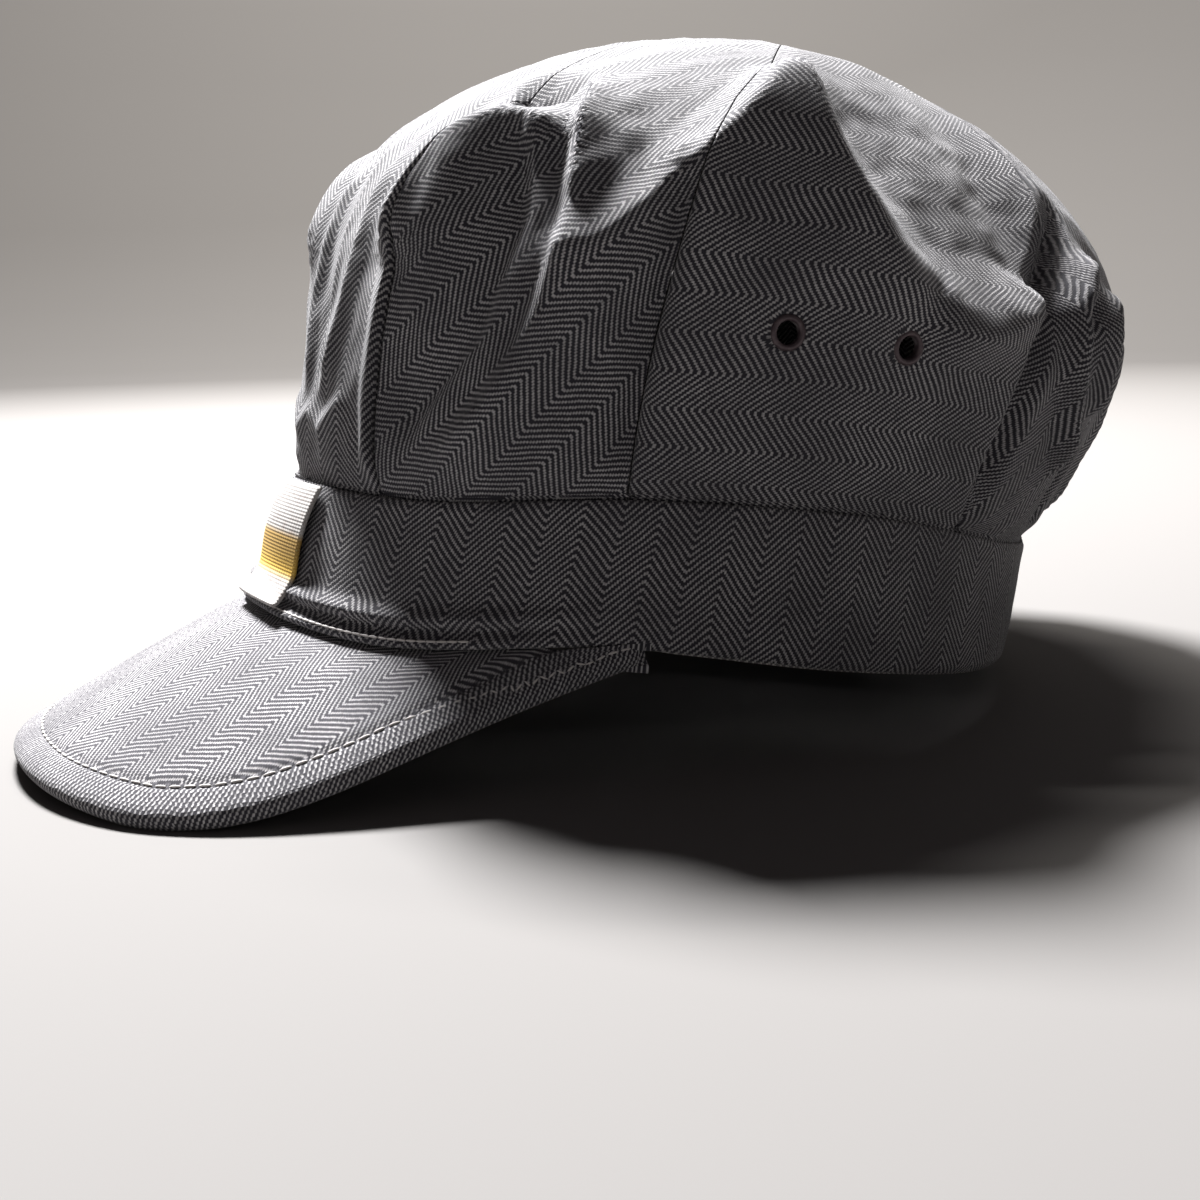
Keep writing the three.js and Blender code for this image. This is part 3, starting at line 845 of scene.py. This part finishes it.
def band_stitch_row():
    """Points a stitch apart on the band's lip, and the way out from the band at each."""
    angles = np.linspace(-root_ends[0], root_ends[0], 60)
    down = np.full_like(angles, 1 - band_row_up / band_height)
    row = band_point(angles, down, -band_row_out)
    outwards = unit(row - band_point(angles, down, 1.0))[1:]
    row[:, 2] -= band_drop
    return row, outwards


stitches("band_stitches", *band_stitch_row())


# The label
# A small woven tape on the front of the band, sewn in at the crown seam and at the visor. It is
# bare apart from one yellow stripe.
label_width = 25.0
label_wall = 0.7
label_stand = 0.6
label_puff = 1.6
label_flare = 2.9
stripe_foot = (6.5, 9.5)
stripe_head = (17.0, 19.5)
tape = Finish("label_tape", Roughness=0.75)
tape_place = tape.node("ShaderNodeUVMap", {"uv_map": "grain"})
tape_across, tape_up = tape.parts(tape_place)
stripe = tape.smooth(tape_up, *stripe_foot) * (1 - tape.smooth(tape_up, *stripe_head))
# The stripe's yellow is painted lighter at its foot, a painted highlight where the foot turns out
# to the light, and darker towards its top.
painted_highlight_fade = tape.smooth(tape_up, 8.0, 16.0)
yellow = tape.mix(painted_highlight_fade, (0.66, 0.42, 0.07, 1), (0.36, 0.22, 0.05, 1))
soiled = tape.smooth(tape.noise(tape_place, 0.35, 3.0, 0.6), 0.4, 0.75)
white = tape.mix(soiled, (0.4, 0.385, 0.37, 1), (0.31, 0.275, 0.26, 1))
tape.set(tape.shader, "Base Color", tape.mix(stripe, white, yellow))
rib = (tape_up * 2.4).math("PINGPONG", 1.0) + (tape_across * 1.7).math("PINGPONG", 1.0) * 0.6
tape.bump(rib, 0.00014, 0.5)


def label_shape(across, up):
    half = math.degrees(math.asin(label_width / head_width / (1 - front_narrowing)))
    down = 0.97 - 0.96 * up
    angle = half * (2 * across - 1)
    puff = label_puff * np.sin(np.pi * np.clip(down, 0, 0.7) / 0.7) * (1 - 0.4 * down)
    flare = label_flare * smoothstep(down, 0.62, 1.0) ** 1.5
    points = band_point(angle, down, -label_wall - label_stand - puff - flare)
    points[:, 2] += 2.0 * smoothstep(down, 0.88, 1.0)
    return points, np.stack([across * label_width, up * band_height], -1)


label = cloth_piece("label_tape", 25, 31, label_shape, label_wall, material=tape.material)
finished(label, "label_tape", "label")


# The eyelets
# Two small blackened metal eyelets in each side panel, for air. Each is a barrel pushed through
# the cloth, rolled over in front and spread on a washer behind.
blackened = Finish("blackened_metal", Metallic=0.4, Specular_IOR_Level=0.5)
metal_place = blackened.node("ShaderNodeTexCoord", output="Object")
scuffs = blackened.smooth(blackened.noise(metal_place, 900, 3.0, 0.6), 0.45, 0.75)
metal = blackened.mix(scuffs, (0.06, 0.042, 0.048, 1), (0.12, 0.09, 0.095, 1))
blackened.set(blackened.shader, "Base Color", metal)
blackened.set(blackened.shader, "Roughness", 0.4 + scuffs * 0.25)
blackened.bump(blackened.noise(metal_place, 1400, 2.0), 0.00005, 0.5)
eyelet_profile = [
    (2.45, -1.5), (2.4, -0.3), (2.46, 0.12), (2.7, 0.42), (3.02, 0.52), (3.45, 0.4), (3.8, 0.1),
    (3.75, -0.08), (3.1, -0.1), (2.7, -0.25), (2.7, -1.4), (3.7, -1.5), (3.75, -1.72), (2.7, -1.78),
]
hole_radius = 3.0
hole_reach = 2.0
hole_depth = 6.0


def cloth_stand(angle, rise):
    """Matrix that stands a small fitting on the crown, its Z axis pointing outwards."""
    points = []
    for angle_step, rise_step in ((0, 0), (1.5, 0), (0, 0.02), (-1.5, 0), (0, -0.02)):
        a, r = np.array([angle + angle_step]), np.array([rise + rise_step])
        points.append(Vector((dome(a, r) + dome_outward(a, r) * fold_relief(a, r)[:, None])[0]))
    across = (points[1] - points[3]).normalized()
    outward = across.cross(points[2] - points[4]).normalized()
    upward = outward.cross(across)
    return Matrix.Translation(points[0]) @ Matrix((across, upward, outward)).transposed().to_4x4()


def eyelet_ring(node, stand):
    """A ring turned from the profile, at its stand."""
    bm = bmesh.new()
    ring = [bm.verts.new((reach, 0, height)) for reach, height in eyelet_profile]
    edges = [bm.edges.new((ring[k - 1], ring[k])) for k in range(len(ring))]
    bmesh.ops.spin(bm, geom=ring + edges, cent=(0, 0, 0), axis=(0, 0, 1), angle=2 * math.pi,
                   steps=36, use_merge=True)
    bmesh.ops.remove_doubles(bm, verts=bm.verts, dist=1e-4)
    bmesh.ops.recalc_face_normals(bm, faces=bm.faces)
    bmesh.ops.transform(bm, matrix=stand, verts=bm.verts)
    finished(smooth_piece(f"{node}_ring", bm, blackened.material), "dark_metal", node)


def eyelet_hole(panel, stand):
    """The hole in the cloth, its cut edge hidden under the ring."""
    bm = bmesh.new()
    bm.from_mesh(panel.data)
    inverse = stand.inverted()

    def near(vert, radius):
        local = inverse @ vert.co
        return local.xy.length < radius and abs(local.z) < hole_depth

    inside = [vert for vert in bm.verts if near(vert, hole_radius)]
    bmesh.ops.delete(bm, geom=inside, context="VERTS")
    for vert in bm.verts:
        if vert.is_boundary and near(vert, hole_radius + hole_reach):
            local = inverse @ vert.co
            local.xy = local.xy.normalized() * hole_radius
            vert.co = stand @ local
    bm.to_mesh(panel.data)
    bm.free()


for side_name, sign in (("left", 1), ("right", -1)):
    for place_name, (side, rise) in eyelet_places.items():
        stand = to_metres @ cloth_stand(sign * side, rise)
        eyelet_ring(f"eyelet_{side_name}_{place_name}", stand)
        eyelet_hole(bpy.data.objects[f"crown_side_{side_name}_cloth"], stand)


# Floor and light
# A plain pale sweep of floor and wall, far larger than any view of the cap, a broad soft lamp
# high up on the side away from the camera, and a second lamp that lights the wall behind.
sweep_radius = 2.2
sweep_bend = 0.8
sweep_height = 3.0
sweep_steps = 8
room_light = 0.1
plaster = Finish("sweep", Base_Color=(0.118, 0.113, 0.109, 1), Roughness=0.9)
bm = bmesh.new()
bmesh.ops.create_circle(bm, cap_ends=True, segments=96, radius=sweep_radius)
rim_edges = [edge for edge in bm.edges if edge.is_boundary]
for step in range(1, sweep_steps + 1):
    turn = math.radians(step * 90 / sweep_steps)
    made = bmesh.ops.extrude_edge_only(bm, edges=rim_edges)["geom"]
    verts = [item for item in made if isinstance(item, bmesh.types.BMVert)]
    rim_edges = [item for item in made if isinstance(item, bmesh.types.BMEdge)]
    reach = sweep_radius + sweep_bend * math.sin(turn)
    for vert in verts:
        flat_length = math.hypot(vert.co.x, vert.co.y)
        vert.co.x *= reach / flat_length
        vert.co.y *= reach / flat_length
        vert.co.z = sweep_bend * (1 - math.cos(turn))
made = bmesh.ops.extrude_edge_only(bm, edges=rim_edges)["geom"]
for item in made:
    if isinstance(item, bmesh.types.BMVert):
        item.co.z = sweep_height
sweep = smooth_piece("sweep", bm, plaster.material)


def soft_lamp(name, place, aim, size, power, colour):
    light = bpy.data.lights.new(name, "AREA")
    light.shape = "DISK"
    light.size = size
    light.energy = power
    light.color = colour
    lamp = bpy.data.objects.new(name, light)
    lamp.location = place
    lamp.rotation_euler = (Vector(aim) - Vector(place)).to_track_quat("-Z", "Y").to_euler()
    bpy.context.scene.collection.objects.link(lamp)


soft_lamp("high_lamp", (-0.86, 0.05, 1.49), (0, 0, 0.08), 0.42, 200, (0.99, 0.99, 1.0))
soft_lamp("wall_lamp", (-0.9, 0.5, 1.9), (-2.4, 1.6, 0.4), 0.8, 160, (1.0, 0.97, 0.93))
world = bpy.data.worlds.new("room")
world.use_nodes = True
background = world.node_tree.nodes["Background"]
background.inputs["Color"].default_value = (1.0, 0.86, 0.92, 1)
background.inputs["Strength"].default_value = room_light
bpy.context.scene.world = world
bpy.context.scene.view_settings.view_transform = "Standard"


# Camera
# It stands on the wearer's left, in front of the cap and about level with the band, and looks
# slightly down. Its place is kept relative to the cap, so it tips with the stance.
camera_distance = 371.0
camera_azimuth = math.radians(56.25)
camera_elevation = math.radians(2.69)
look_yaw = camera_azimuth + math.radians(2.34)
look_pitch = camera_elevation + math.radians(4.81)
look_roll = math.radians(6.34)
frame_width = 36.0
lens_share = 1335 / 1200
camera_data = bpy.data.cameras.new("camera")
camera_data.sensor_width = frame_width
camera_data.lens = frame_width * lens_share
camera_data.clip_start = 0.01
camera = bpy.data.objects.new("camera", camera_data)
bpy.context.scene.collection.objects.link(camera)


def towards(azimuth, elevation):
    """Unit vector from the cap's middle to one side of its front and upwards."""
    level = math.cos(elevation)
    return Vector((math.sin(azimuth) * level, -math.cos(azimuth) * level, math.sin(elevation)))


back = towards(look_yaw, look_pitch)
right = Vector((math.cos(look_yaw), math.sin(look_yaw), 0))
up = back.cross(right)
rolled_right = math.cos(look_roll) * right + math.sin(look_roll) * up
rolled_up = -math.sin(look_roll) * right + math.cos(look_roll) * up
turned = Matrix((rolled_right, rolled_up, back)).transposed().to_4x4()
spot = camera_distance * towards(camera_azimuth, camera_elevation)
camera.matrix_world = Matrix.Translation((to_metres @ spot)) @ stance.to_3x3().to_4x4() @ turned
bpy.context.scene.camera = camera

bpy.context.view_layer.update()
